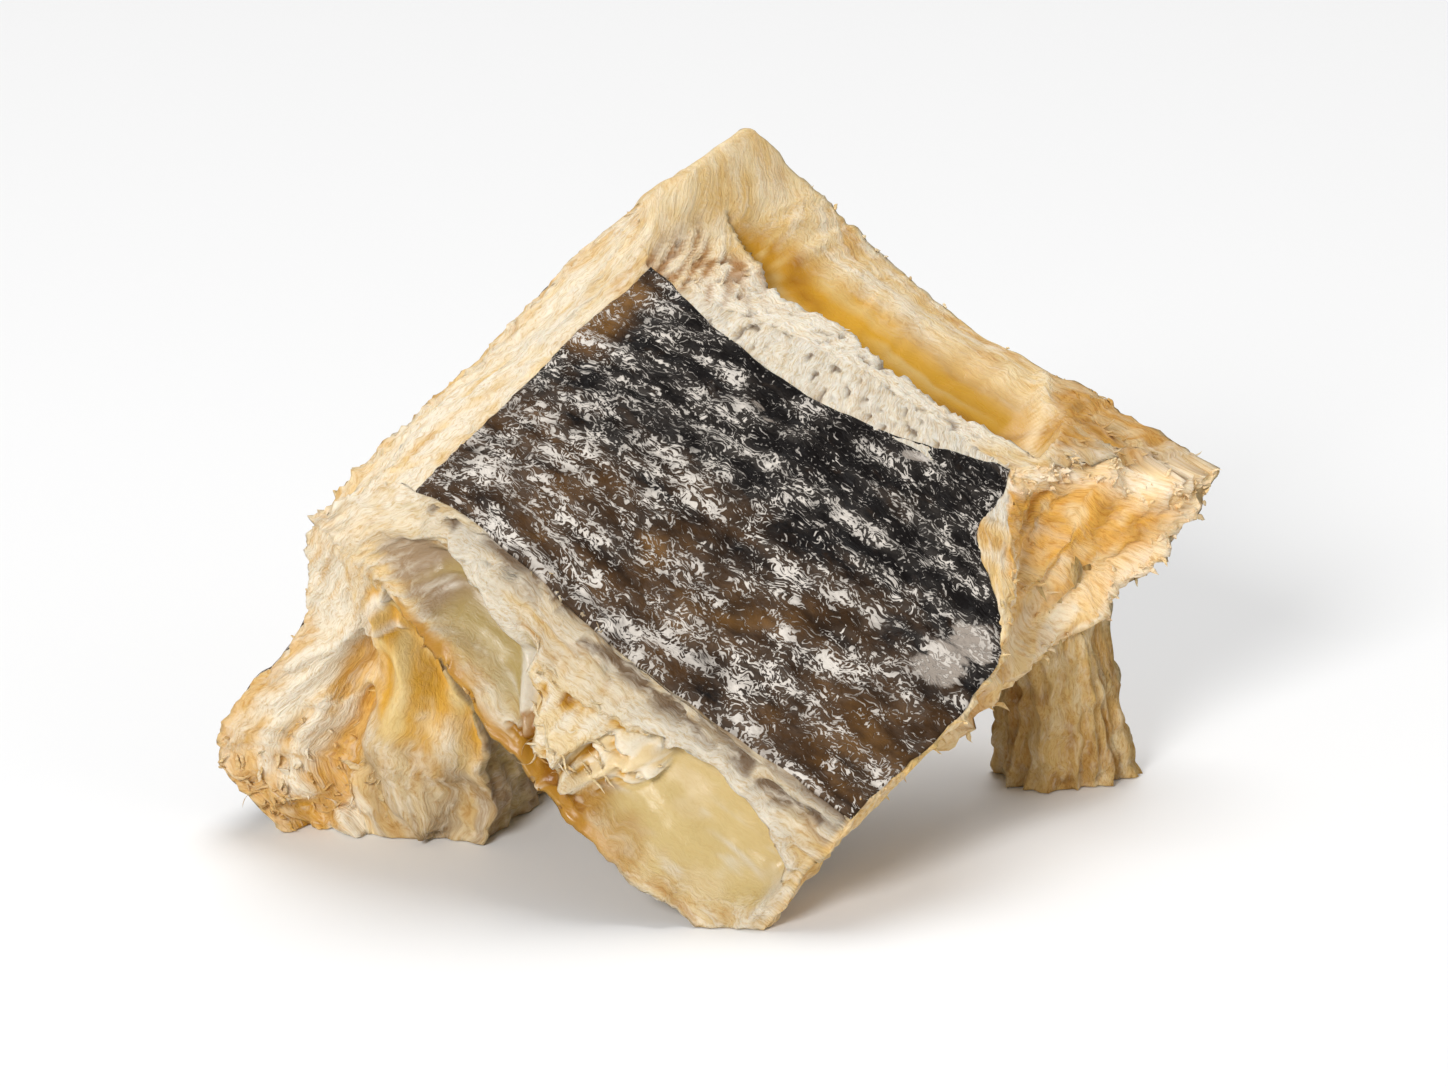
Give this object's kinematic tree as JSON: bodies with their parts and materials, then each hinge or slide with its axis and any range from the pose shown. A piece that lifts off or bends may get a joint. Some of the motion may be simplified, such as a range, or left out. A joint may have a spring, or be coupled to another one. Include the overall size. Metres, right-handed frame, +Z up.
{
  "type": "stockfish piece",
  "caption": "Saw-cut piece of air-dried cod: a roof of cream fibrous flesh with dark flecked skin over an open belly, standing on its cut edges.",
  "frame": {"origin": "middle of the piece's bounding box, on the ground it stands on", "axes": "+Z up, +X along the front saw cut from the left foot to the torn hem, +Y from the front cut to the rear cut"},
  "size_m": [0.1374, 0.0856, 0.087],
  "materials": {
    "flesh": "dry fibrous, straw cream with amber pockets",
    "skin": "wrinkled, half glossy, charcoal with pale flecks"
  },
  "bodies": {
    "root": {"stockfish_piece": "flesh"}
  },
  "joints": []
}
